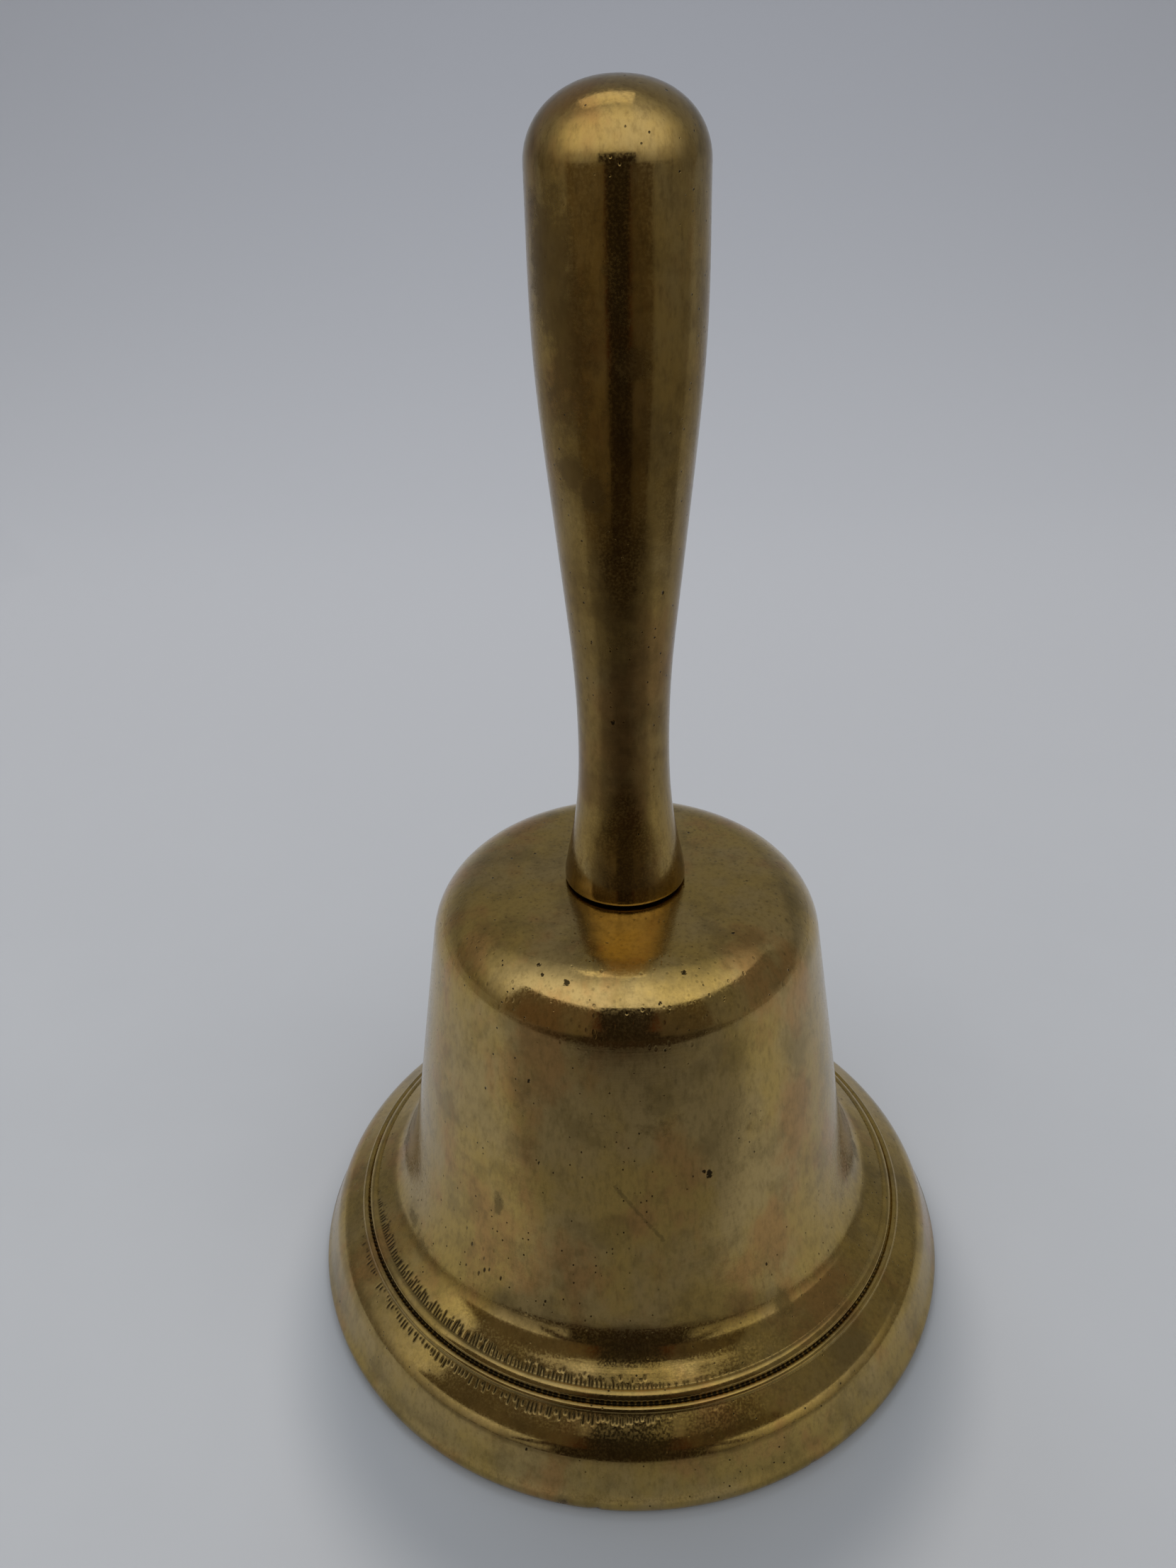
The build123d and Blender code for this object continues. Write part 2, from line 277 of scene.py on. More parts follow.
# ---- Node materials -------------------------------------------------------
class Shader:
    """A material's node tree, with short calls for the nodes that are used here."""

    def __init__(self, name, **fixed):
        self.material = bpy.data.materials.new(name)
        self.material.use_nodes = True
        self.tree = self.material.node_tree
        self.surface = self.tree.nodes["Principled BSDF"]
        for key, value in fixed.items():
            self.surface.inputs[key.replace("_", " ")].default_value = value
        self.place = self.node("ShaderNodeTexCoord").outputs["Object"]

    def node(self, kind, **inputs):
        made = self.tree.nodes.new(kind)
        for key, value in inputs.items():
            self.feed(made.inputs[key.replace("_", " ")], value)
        return made

    def feed(self, socket, value):
        if isinstance(value, bpy.types.NodeSocket):
            self.tree.links.new(value, socket)
        else:
            socket.default_value = value

    def math(self, operation, a, b=0.0, c=0.0):
        made = self.tree.nodes.new("ShaderNodeMath")
        made.operation = operation
        for socket, value in zip(made.inputs, (a, b, c)):
            self.feed(socket, value)
        return made.outputs[0]

    def noise(self, scale, detail=3.0, rough=0.55, stretch=(1, 1, 1), shift=(0, 0, 0), where=None):
        """Noise with features about 1/scale metres wide, stretched along the axes."""
        moved = self.node("ShaderNodeMapping", Vector=where or self.place)
        moved.inputs["Scale"].default_value = stretch
        moved.inputs["Location"].default_value = shift
        made = self.node("ShaderNodeTexNoise", Vector=moved.outputs[0], Scale=scale, Detail=detail,
                         Roughness=rough)
        return made.outputs[0]

    def step(self, value, low, high, to_low=0.0, to_high=1.0):
        """A smooth ramp of value from low to high."""
        made = self.tree.nodes.new("ShaderNodeMapRange")
        made.interpolation_type = "SMOOTHSTEP"
        for key, v in (("Value", value), ("From Min", low), ("From Max", high),
                       ("To Min", to_low), ("To Max", to_high)):
            self.feed(made.inputs[key], v)
        return made.outputs[0]

    def mix(self, share, a, b):
        made = self.tree.nodes.new("ShaderNodeMix")
        made.data_type = "RGBA"
        self.feed(made.inputs["Factor"], share)
        for key, v in (("A", a), ("B", b)):
            socket = [s for s in made.inputs if s.name == key and s.type == "RGBA"][0]
            self.feed(socket, v if isinstance(v, bpy.types.NodeSocket) else (*v, 1.0))
        return [s for s in made.outputs if s.type == "RGBA"][0]

    def painted(self, name):
        made = self.tree.nodes.new("ShaderNodeAttribute")
        made.attribute_name = name
        return made.outputs["Fac"]

    def specks(self, scale, radius, share, stretch=(1, 1, 1), shift=(0, 0, 0)):
        """Small round spots: one in some of the cells, in a share of them."""
        moved = self.node("ShaderNodeMapping", Vector=self.place)
        moved.inputs["Scale"].default_value = stretch
        moved.inputs["Location"].default_value = shift
        cells = self.node("ShaderNodeTexVoronoi", Vector=moved.outputs[0], Scale=scale)
        spot = self.step(cells.outputs["Distance"], radius, radius * 0.45)
        chosen = self.node("ShaderNodeSeparateColor", Color=cells.outputs["Color"]).outputs[0]
        picked = self.math("GREATER_THAN", share, chosen)
        return self.math("MULTIPLY", spot, picked)

    def vector(self, operation, a, b=(0, 0, 0)):
        made = self.tree.nodes.new("ShaderNodeVectorMath")
        made.operation = operation
        self.feed(made.inputs[0], a)
        self.feed(made.inputs[1], b)
        return made.outputs["Value" if operation == "DOT_PRODUCT" else "Vector"]

    def length(self, value):
        made = self.node("ShaderNodeVectorMath", Vector=value)
        made.operation = "LENGTH"
        return made.outputs["Value"]

    def mark(self, start, end, half_width, where):
        """1 within half_width of the line from start to end, in millimetres."""
        a, b = Vector(start) * MM, Vector(end) * MM
        away = self.vector("SUBTRACT", where, a)
        along = self.vector("DOT_PRODUCT", away, (b - a) / (b - a).length_squared)
        along = self.math("MINIMUM", self.math("MAXIMUM", along, 0.0), 1.0)
        foot = self.node("ShaderNodeVectorMath", Vector=tuple(b - a))
        foot.operation = "SCALE"
        self.feed(foot.inputs["Scale"], along)
        distance = self.length(self.vector("SUBTRACT", away, foot.outputs["Vector"]))
        return self.step(distance, half_width * MM * 1.2, half_width * MM * 0.7)

    def rings(self, scale):
        """Noise that runs round the axis: what a lathe leaves."""
        x, y, z = self.node("ShaderNodeSeparateXYZ", Vector=self.place).outputs
        radius = self.math("SQRT", self.math("ADD", self.math("MULTIPLY", x, x),
                                             self.math("MULTIPLY", y, y)))
        soft = self.math("MULTIPLY", self.math("ADD", x, self.math("MULTIPLY", y, 0.6)), 0.02)
        where = self.node("ShaderNodeCombineXYZ", X=radius, Y=z, Z=soft).outputs[0]
        return self.noise(scale, 2.0, where=where)

    def bump(self, height, distance, under=None):
        made = self.node("ShaderNodeBump", Height=height, Distance=distance, Strength=1.0)
        if under is not None:
            self.feed(made.inputs["Normal"], under)
        return made.outputs[0]

    def finish(self, **sockets):
        for key, value in sockets.items():
            self.feed(self.surface.inputs[key.replace("_", " ")], value)
        return self.material

    def show(self, shader):
        """Make the node shader the material's surface, instead of the Principled one."""
        self.feed(self.tree.nodes["Material Output"].inputs["Surface"], shader.outputs[0])
        return self.material

    def blend(self, share, a, b):
        """A shader that goes from a to b as share goes from 0 to 1."""
        made = self.node("ShaderNodeMixShader", Fac=share)
        self.feed(made.inputs[1], a.outputs[0])
        self.feed(made.inputs[2], b.outputs[0])
        return made


# ---- Marks on the bell and the handle --------------------------------------
LOWER_EDGE = GROOVE_AT - LOWER_REED
UPPER_EDGE = GROOVE_AT + UPPER_REED
FLARE_R = 42.5           # radius at the groove, where angles turn into millimetres
FINE_FROM, FINE_TO = -176, -24    # degrees; this side, where the tool chattered, is finely meshed
FINE_STEP = 0.18
WIDE_STEP = 1.0
COARSE_EVERY = 4         # away from the band, one fine angle in this many has a vertex
UPPER_STEP = 0.80        # degrees between the tool's strokes above the reeds
LOWER_STEP = 0.85        # and below them
GROOVE_STEP = 1.1        # and in the groove
STROKE_DEPTH = 0.05
DIRTY_DEPTH = 0.04       # a stroke this deep is full of dirt
NICK_HALF_HIGH = 0.7
OFF_BAND = -9.0          # stands for the distance of a point that isn't on the band
PITTED_FROM_Z = 61       # above this height the whole casting is lightly pitted
FOOT_DIRT_HIGH = 0.3     # how far the dirt climbs from the handle's foot

# Stains painted on the bell, and two marks of painted shade: (angle, height, half width mm, half height mm,
# strength)
BELL_STAINS_AND_SHADE = [(-54, 16.6, 2.2, 1.9, 0.9), (-124, 32.5, 1.1, 1.5, 0.9), (-97, 46.0, 3.4, 3.6, 0.45),
               (-181, 17.5, 3.0, 1.5, 0.8), (-155, 17.0, 3.2, 1.1, 0.8), (-2, 16.8, 3.5, 1.3, 0.8),
               (-82, 52.0, 6.0, 4.0, 0.45), (-118, 52.0, 4.0, 5.0, 0.4), (-70, 27.0, 4.0, 3.0, 0.35),
               (-104, 27.0, 3.0, 3.0, 0.3), (-60, 44.0, 4.0, 5.0, 0.35), (-138, 40.0, 3.0, 5.0, 0.4),
               (40, 30.0, 6.0, 5.0, 0.45), (95, 45.0, 5.0, 6.0, 0.4), (150, 24.0, 5.0, 3.0, 0.5),
               # the two wide marks at 14 mm darken the front of the reeded band: painted shade over some of
               # its olive film
               (-100, 61.5, 6.0, 2.0, 0.35), (-135, 14.2, 16.0, 3.0, 0.30), (-100, 14.0, 14.0, 3.0, 0.30),
               (-150, 16.5, 8.0, 2.4, 0.5)]
# Stains on the handle, as on the bell
HANDLE_STAINS = [(-126, 142, 5.2, 15.5, 0.72), (-138, 150, 5.0, 10.0, 0.95), (-130, 129, 3.2, 3.4, 0.95),
                 (-112, 127, 2.4, 3.6, 0.95), (-82, 141, 2.6, 2.6, 0.9), (-92, 147, 3.0, 8.0, 0.4),
                 (-60, 132, 3.0, 6.0, 0.2), (-86, 108, 3.0, 4.0, 0.35), (-60, 92, 3.0, 4.0, 0.4),
                 (-112, 84, 2.5, 4.0, 0.3), (60, 125, 5.0, 9.0, 0.5), (140, 104, 4.0, 7.0, 0.4)]
# Where fine casting pits crowd together: (angle, height, half width mm, half height mm)
PITTED = [(-124, 21.0, 4.5, 5.0), (-131, 25.0, 2.5, 3.0), (70, 22.0, 5.0, 4.0), (-112, 20.0, 3.0, 3.0)]
# Single pits: (angle, height, surface radius, half width mm, length mm)
BELL_PITS = [(-69.7, 41.4, 31.0, 0.42, 0.55), (-71.0, 42.0, 30.9, 0.24, 0.2),
             (-108.8, 68.3, 23.5, 0.38, 0.3), (-70.9, 68.9, 22.4, 0.30, 0.3),
             (-80.4, 67.0, 25.2, 0.22, 0.1), (-120.1, 68.9, 22.4, 0.26, 0.1),
             (-117.3, 68.4, 23.4, 0.22, 0.1), (-103.3, 69.5, 20.2, 0.18, 0.1),
             (-80.0, 61.5, 27.8, 0.24, 0.1), (-159.6, 69.65, 15.5, 0.18, 0.1),
             (156.4, 69.65, 14.4, 0.20, 0.1), (-98.9, 69.65, 16.1, 0.18, 0.1),
             (-44.2, 69.6, 19.8, 0.20, 0.1), (-6.3, 69.65, 17.2, 0.16, 0.1),
             (-116.3, 54.9, 28.8, 0.2, 0.3), (-91.0, 45.0, 30.4, 0.14, 0.1),
             (-87.0, 49.4, 29.7, 0.13, 0.1), (-112.8, 42.8, 30.7, 0.15, 0.2)]
HANDLE_PITS = [(-102.1, 96.8, 6.2, 0.26, 0.1), (-115.0, 82.0, 6.6, 0.13, 0.1), (-74.0, 80.5, 6.8, 0.14, 0.1),
               (-80.0, 90.0, 6.2, 0.10, 0.1)]
# A long faint scratch: (angle, height, surface radius) of its ends
SCRATCH = [(-93.2, 41.1, 31.0), (-81.8, 32.2, 32.4)]
# Nicks in the rim: (angle, height, half width mm, depth mm)
RIM_NICKS = [(-100.5, 1.5, 0.7, 0.25), (-95.5, 0.9, 0.6, 0.2), (-60, 1.2, 0.5, 0.15), (70, 1.3, 0.7, 0.2)]


def chatter(distance, angle):
    """Depth in millimetres, at points on the band, that the chattering tool cut below the surface."""
    cut = np.zeros_like(distance)

    def nick(at_deg, low, high, half_width, depth, lean):
        across = (angle - at_deg + lean * (distance - low)) * math.pi / 180 * FLARE_R
        along = np.clip((distance - low) / 0.25, 0, 1) * np.clip((high - distance) / 0.35, 0, 1)
        np.maximum(cut, depth * np.exp(-(across / half_width) ** 2) * along, out=cut)

    for at_deg in np.arange(-170, -22, UPPER_STEP):
        fade = np.interp(at_deg, [-170, -160, -138, -96, -84, -66, -22], [0.5, 1, 1, 1, 0.6, 0.3, 0.1])
        if rng.random() > 0.35 + 0.65 * fade:
            continue
        at = at_deg + rng.normal(0, 0.11)
        longer = np.interp(at_deg, [-165, -150, -122, -100, -80], [0.9, 1.2, 1.3, 0.9, 0.6])
        reach = fade * longer * rng.uniform(0.5, 1.35)
        wide = np.interp(at_deg, [-150, -110], [0.17, 0.14])
        nick(at, UPPER_EDGE - 0.1, UPPER_EDGE + reach + 0.2, wide, STROKE_DEPTH * fade + 0.01,
             rng.normal(0.1, 0.1))
        if fade > 0.7 and rng.random() < 0.6:
            start = UPPER_EDGE + rng.uniform(0.6, 1.3)
            nick(at + 0.4, start, start + rng.uniform(0.4, 0.8), 0.14, STROKE_DEPTH, rng.normal(0, 0.1))
    for at_deg in np.arange(-168, -68, LOWER_STEP):
        fade = np.interp(at_deg, [-168, -154, -130, -96, -84, -68], [0.3, 0.9, 1, 1, 0.6, 0.1])
        if rng.random() > 0.25 + 0.70 * fade:
            continue
        at = at_deg + rng.normal(0, 0.12)
        start = LOWER_EDGE - rng.uniform(0.0, 0.25)
        nick(at, start - fade * rng.uniform(0.6, 1.7), start, 0.14, STROKE_DEPTH * fade + 0.01,
             rng.normal(0, 0.08))
    for at_deg in np.arange(-170, -20, GROOVE_STEP):
        fade = np.interp(at_deg, [-170, -155, -95, -45, -20], [0.3, 1, 1, 0.5, 0.1])
        at = at_deg + rng.normal(0, 0.08)
        nick(at, GROOVE_AT - 0.32, GROOVE_AT + 0.34, 0.2, 0.14 * fade, 0)
    return cut


def reeds(distance):
    """Height of the two reeds above the flare, with the groove between them."""
    low_side, high_side = GROOVE_AT - GROOVE_HALF, GROOVE_AT + GROOVE_HALF

    def hump(low, high):
        t = np.clip((distance - low) / (high - low), 0, 1)
        return REED_RISE * (1 - (2 * t - 1) ** 2) ** 0.6

    groove = -GROOVE_DEPTH * np.clip(1 - ((distance - GROOVE_AT) / GROOVE_HALF) ** 2, 0, 1) ** 0.5
    return hump(LOWER_EDGE, low_side) + hump(high_side, UPPER_EDGE) + groove


def spot(angle, height, radius, at_deg, at_z, half_wide, half_high):
    """1 at a mark's centre, falling to 0 at its edge."""
    turn = (angle - at_deg + 180) % 360 - 180
    across = turn * math.pi / 180 * radius / half_wide
    up = (height - at_z) / half_high
    return np.clip(1.25 - np.sqrt(across ** 2 + up ** 2), 0, 1)


def band_distances():
    """Distances along the flare that have a row of vertices on the reeded band."""
    low_side, high_side = GROOVE_AT - GROOVE_HALF, GROOVE_AT + GROOVE_HALF
    return np.unique(np.concatenate([
        np.linspace(BAND_LOW, LOWER_EDGE, 13), np.linspace(LOWER_EDGE, low_side, 9),
        np.linspace(low_side, high_side, 6), np.linspace(high_side, UPPER_EDGE, 10),
        np.linspace(UPPER_EDGE, BAND_HIGH, 15)[:-1],
    ]))


def marks(places, angle, flat):
    """The strongest of some painted marks at each point, whose flat place is (radius, height)."""
    total = np.zeros(len(flat))
    for at_deg, at_z, half_wide, half_high, strength in places:
        mark = strength * spot(angle, flat[:, 1], flat[:, 0], at_deg, at_z, half_wide, half_high)
        total = np.maximum(total, mark)
    return total


def turned_points(flat, angle):
    turn = np.radians(angle)
    return np.stack([flat[:, 0] * np.cos(turn), flat[:, 0] * np.sin(turn), flat[:, 1]], -1)


def bell_paints(angle, flat, along, cut, nicks, outer):
    """What is painted on the bell's points: stains, dirt, pitted patches and painted shade on the front."""
    dirt = 0.5 * np.exp(-((along - GROOVE_AT) / 0.16) ** 2)
    dirt *= np.interp(angle, [-70, -40, 150, 184], [1.0, 0.4, 0.4, 1.0])
    dirt += 0.35 * np.exp(-((along - UPPER_EDGE) / 0.1) ** 2)
    dirt += 0.3 * np.exp(-((along - LOWER_EDGE) / 0.1) ** 2)
    dirt += np.clip(cut / DIRTY_DEPTH, 0, 1) + np.clip(nicks / 0.3, 0, 0.7)
    pitted = np.where(flat[:, 1] > PITTED_FROM_Z, 0.45, 0.0)
    pitted = np.maximum(pitted, marks([(*place, 1.0) for place in PITTED], angle, flat))
    # painted shade on the front of the flare: most on the front left, fading out below 6.5 mm and above 18
    # mm
    shade_round = np.interp(angle, [-176, -150, -125, -95, -75, -40, -10, 184],
                           [0.1, 0.2, 0.9, 0.9, 0.7, 0.3, 0.15, 0.15])
    shade_up = np.interp(flat[:, 1], [6.5, 9.5, 13.8, 18.0], [0, 1, 1, 0])
    return {"stain_and_shade": marks(BELL_STAINS_AND_SHADE, angle, flat) * outer, "dirt": np.clip(dirt, 0, 1),
            "inside": 1.0 - outer, "pitted": pitted * outer, "painted_shade": shade_round * shade_up * outer}


def make_bell(material):
    """The bell as one closed turned mesh, finely divided where the tool chattered."""
    below, above = shell_outside()
    distance = band_distances()
    band = np.array([on_flare(d) for d in distance]) + reeds(distance)[:, None] * FLARE_OUT
    rows = np.concatenate([below, band, above, shell_inside()])
    band_rows = range(len(below), len(below) + len(band))
    fine = np.arange(FINE_FROM, FINE_TO, FINE_STEP)
    wide = np.arange(FINE_TO, FINE_FROM + 360, WIDE_STEP)
    coarse = np.concatenate([np.arange(0, len(fine), COARSE_EVERY), len(fine) + np.arange(len(wide))])
    row_of, angle, faces = turned_mesh(rows, np.concatenate([fine, wide]), coarse, band_rows)

    flat = rows[row_of]
    on_band = np.isin(row_of, band_rows)
    along = np.full(len(rows), OFF_BAND)
    along[list(band_rows)] = distance
    along = along[row_of]
    cut = np.where(on_band, chatter(np.where(on_band, along, 0.0), angle), 0.0)
    outer = row_of < len(below) + len(band) + len(above)
    nicks = np.zeros(len(flat))
    for at_deg, at_z, half_wide, deep in RIM_NICKS:
        nicks += deep * spot(angle, flat[:, 1], MOUTH_R, at_deg, at_z, half_wide, NICK_HALF_HIGH) * outer
    flat = flat - outward(rows)[row_of] * (cut + nicks)[:, None]
    paints = bell_paints(angle, flat, along, cut, nicks, outer)
    make_piece("bell", turned_points(flat, angle), faces, paints, "bell", "bell_brass", material,
               "bell_shell")


def handle_rows():
    """Outline of the handle, from the bore round the foot, up the side and over the dome."""
    dome_r, dome_z = HANDLE_SIDE[-1]
    swing = np.linspace(0, math.pi / 2, 26)[:-1]
    dome = np.stack([dome_r * np.cos(swing) ** (2 / DOME_POWER),
                     dome_z + (TOP_Z - dome_z) * np.sin(swing) ** (2 / DOME_POWER)], -1)
    foot_r, foot_z = HANDLE_SIDE[0][0], FOOT_Z + FOOT_EDGE
    side = [(foot_r, foot_z)] + HANDLE_SIDE[1:]
    corner = (foot_r - FOOT_EDGE, FOOT_Z)
    return np.concatenate([
        line((BORE_R, FOOT_Z), corner, 3),
        bezier(corner, (corner[0] + 0.2, FOOT_Z), (foot_r, foot_z - 0.2), side[0], 4),
        smooth_line(side, 13, (0, 1), (0, 1)),
        dome,
        [(TIP_R, TOP_Z)],
        [(TIP_R, BORE_TOP_Z)],
        line((BORE_R, BORE_TOP_Z), (BORE_R, FOOT_Z), 2),
    ])


def make_handle(material):
    """The handle as one closed turned mesh, a little uneven as a hand-finished casting is."""
    rows = handle_rows()
    angles = np.arange(0, 360, HANDLE_STEP)
    row_of, angle, faces = turned_mesh(rows, angles, np.arange(len(angles)), [])
    flat = rows[row_of]
    height = flat[:, 1]
    turn = np.radians(angle)
    wave = 0.025 * np.sin(2 * turn + height / 9) + 0.015 * np.sin(3 * turn - height / 5)
    wave *= np.clip((height - 75) / 10, 0, 1) * np.clip((TOP_Z - height) / 8, 0, 1)
    widest = HANDLE_SIDE[-1][0]
    shrink = widest / (widest + WAVE_ROOM)
    radius = np.where(flat[:, 0] > BORE_R + 1, (flat[:, 0] + wave) * shrink, flat[:, 0])
    points = turned_points(np.stack([radius, height], -1), angle)
    # painted shade: the handle is darkest from 88 to 126 mm up, lighter at its foot and dome
    painted_shade = np.interp(height, [70, 78, 88, 112, 126, 145, 158], [0.1, 0.3, 0.8, 1.0, 0.8, 0.4, 0.1])
    foot_dirt = np.clip(1 - (height - FOOT_Z) / FOOT_DIRT_HIGH, 0, 1) * 0.6
    paints = {"stain_and_shade": marks(HANDLE_STAINS, angle, flat), "dirt": foot_dirt, "painted_shade": painted_shade}
    make_piece("grip", points, faces, paints, "bell", "handle_brass", material, "handle")


# ---- Materials ------------------------------------------------------------
def surface_point(angle, height, radius):
    return radius * math.cos(math.radians(angle)), radius * math.sin(math.radians(angle)), height


def brass(name, tones, roughness, single_pits=(), scratch=None, inside=False, turned=0.5):
    """Old polished brass: blotchy patina, stains, painted shade, casting pits, turning marks and dirt in
    cuts.
    """
    s = Shader(name, Metallic=1.0)
    bright, golden, brown, dark = tones
    cloud = s.noise(60, 5, 0.62, stretch=(1, 1, 0.7))
    blotch = s.noise(150, 5, 0.68, shift=(0.3, 0.1, 0.7))
    warm = s.step(s.noise(85, 4, 0.65, stretch=(1, 1, 0.6), shift=(0.9, 0.4, 0.2)), 0.50, 0.66)
    colour = s.mix(s.step(cloud, 0.40, 0.60), bright, golden)
    colour = s.mix(s.math("MULTIPLY", warm, 0.75), colour, brown)
    colour = s.mix(s.step(blotch, 0.46, 0.66, 0.0, 0.40), colour, dark)
    grain = s.noise(1400, 3, 0.7, stretch=(1, 1, 0.35))
    colour = s.mix(s.step(grain, 0.42, 0.78, 0.0, 0.45), colour, dark)
    # painted stains, two of them painted shade, darken the colour as a ragged film
    stain_and_shade = s.painted("stain_and_shade")
    ragged = s.math("MULTIPLY_ADD", s.math("SUBTRACT", s.noise(420, 5, 0.7), 0.5), 1.5, stain_and_shade)
    film_and_shade = s.math("MULTIPLY", s.step(ragged, 0.25, 0.75), s.step(stain_and_shade, 0.0, 0.25))
    colour = s.mix(s.math("MULTIPLY", film_and_shade, 0.72), colour, dark)
    # painted shade: the painted values darken the colour, broken up by the blotches
    painted_shade = s.math("MULTIPLY", s.painted("painted_shade"), s.step(blotch, 0.3, 0.6, 0.7, 1.0))
    colour = s.mix(s.math("MULTIPLY", painted_shade, 0.62), colour, dark)
    pits = s.specks(420, 0.10, 0.10, stretch=(1, 1, 0.7))
    small = s.specks(1300, 0.22, 0.14, shift=(0.2, 0.5, 0.1))
    crowd = s.step(s.noise(38, 2, 0.5, shift=(0.1, 0.8, 0.5)), 0.42, 0.58)
    pits = s.math("MAXIMUM", pits, s.math("MULTIPLY", small, crowd))
    dense = s.specks(1150, 0.30, 0.42, stretch=(1, 1, 0.45), shift=(0.7, 0.1, 0.4))
    pits = s.math("MAXIMUM", pits, s.math("MULTIPLY", dense, s.step(s.painted("pitted"), 0.2, 0.9)))
    wobble = s.node("ShaderNodeTexNoise", Vector=s.place, Scale=2600.0).outputs["Color"]
    wobble = s.vector("SUBTRACT", wobble, (0.5, 0.5, 0.5))
    nudge = s.vector("MULTIPLY", wobble, (0.0007, 0.0007, 0.0007))
    where = s.vector("ADD", s.place, nudge)
    for angle, height, radius, half_width, length in single_pits:
        a = surface_point(angle, height - length / 2, radius)
        b = surface_point(angle, height + length / 2, radius)
        pits = s.math("MAXIMUM", pits, s.mark(a, b, half_width, where))
    if scratch:
        line_mark = s.mark(surface_point(*scratch[0]), surface_point(*scratch[1]), 0.3, where)
        colour = s.mix(s.math("MULTIPLY", line_mark, 0.5), colour, dark)
    colour = s.mix(s.math("MULTIPLY", pits, 0.95), colour, (0.025, 0.017, 0.007))
    dirt = s.painted("dirt")
    colour = s.mix(s.math("MULTIPLY", dirt, 0.95), colour, (0.022, 0.015, 0.007))
    haze = s.step(s.noise(3200, 2, 0.6), 0.40, 0.64, roughness - 0.05, roughness + 0.06)
    rough = s.math("ADD", haze, s.step(cloud, 0.3, 0.7, 0.0, 0.05))
    rough = s.math("ADD", rough, s.math("MULTIPLY", film_and_shade, 0.16))
    rough = s.math("ADD", rough, s.math("MULTIPLY", dirt, 0.4))
    lathe = s.rings(2600)
    hair = s.noise(2600, 2, 0.6, stretch=(1, 1, 0.08), shift=(0.6, 0.2, 0.9))
    height = s.math("ADD", s.math("MULTIPLY", lathe, turned), s.math("MULTIPLY", hair, 0.35))
    fine = s.bump(height, 0.000006)
    ripple = s.bump(s.noise(240, 2, 0.5), 0.00003, under=fine)
    if inside:
        within = s.painted("inside")
        cast = s.noise(900, 5, 0.7)
        colour = s.mix(s.math("MULTIPLY", within, s.step(cast, 0.3, 0.7, 0.55, 0.85)), colour,
                       (0.15, 0.105, 0.04))
        rough = s.math("ADD", rough, s.math("MULTIPLY", within, 0.28))
        sand = s.math("MULTIPLY", within, cast)
        ripple = s.bump(sand, 0.00025, under=ripple)
    sunk = s.bump(s.math("MULTIPLY", pits, -1.0), 0.00004, under=ripple)
    return s.finish(Base_Color=colour, Roughness=rough, Normal=sunk)


def steel(name, colour, rust, roughness, amount):
    """Dull steel with rust in patches."""
    s = Shader(name, Metallic=1.0)
    patch = s.step(s.noise(260, 5, 0.7), 0.62 - amount, 0.8 - amount)
    grain = s.noise(1800, 3, 0.7)
    tone = s.mix(s.step(grain, 0.3, 0.7, 0.0, 0.35), colour, [c * 0.55 for c in colour])
    tone = s.mix(s.math("MULTIPLY", patch, 0.8), tone, rust)
    rough = s.math("ADD", s.step(grain, 0.3, 0.7, roughness, roughness + 0.12),
                   s.math("MULTIPLY", patch, 0.35))
    normal = s.bump(s.math("ADD", grain, s.math("MULTIPLY", patch, 0.8)), 0.00004)
    return s.finish(Base_Color=tone, Roughness=rough, Normal=normal)


def leather(name):
    """Dark washer leather with a fine grain."""
    s = Shader(name)
    grain = s.noise(1500, 4, 0.7)
    tone = s.mix(s.step(grain, 0.35, 0.7), (0.035, 0.02, 0.012), (0.012, 0.008, 0.006))
    return s.finish(Base_Color=tone, Roughness=s.step(grain, 0.3, 0.7, 0.55, 0.8),
                    Normal=s.bump(grain, 0.00008))


BELL_TONES = ((0.45, 0.325, 0.130), (0.47, 0.325, 0.095), (0.44, 0.245, 0.085), (0.17, 0.120, 0.042))
HANDLE_TONES = ((0.38, 0.270, 0.104), (0.40, 0.266, 0.078), (0.33, 0.180, 0.058), (0.12, 0.074, 0.024))
CLAPPER_TONES = ((0.50, 0.37, 0.15), (0.53, 0.38, 0.13), (0.40, 0.26, 0.11), (0.15, 0.11, 0.05))


# ---- Floor, light and camera ----------------------------------------------
PAPER_Z = -0.00005       # a hair under the rim, so that the two don't share a plane
HOLE_R = 0.0493          # the paper's hole, hidden under the rim, lets light into the bell
PAPER_BEND_Y = 0.42      # where the paper starts to curve up, and how gently
PAPER_BEND_R = 0.5
PAPER_HALF_WIDE = 2.2
PAPER_TOP_Z = 2.4
ARC_R = 0.145            # the cards that curve round the bell
ARC_LOW_Z, ARC_HIGH_Z = 0.050, 0.171
ARC_STEPS = 24
DIM_Z = 0.001            # the dim floor and the shade lie just over the paper
SHADE_Z = 0.0015
DIM_FAR_R = 1.7
CAMERA_AT = (0, -0.14103, 0.16460)
CAMERA_RIGHT = (0.99948, 0.02095, -0.02447)
CAMERA_FORWARD = (-0.03030, 0.86924, -0.49347)
PHONE_UP = (0.01093, 0.49395, 0.86942)    # the way up of the flat dark card at the camera


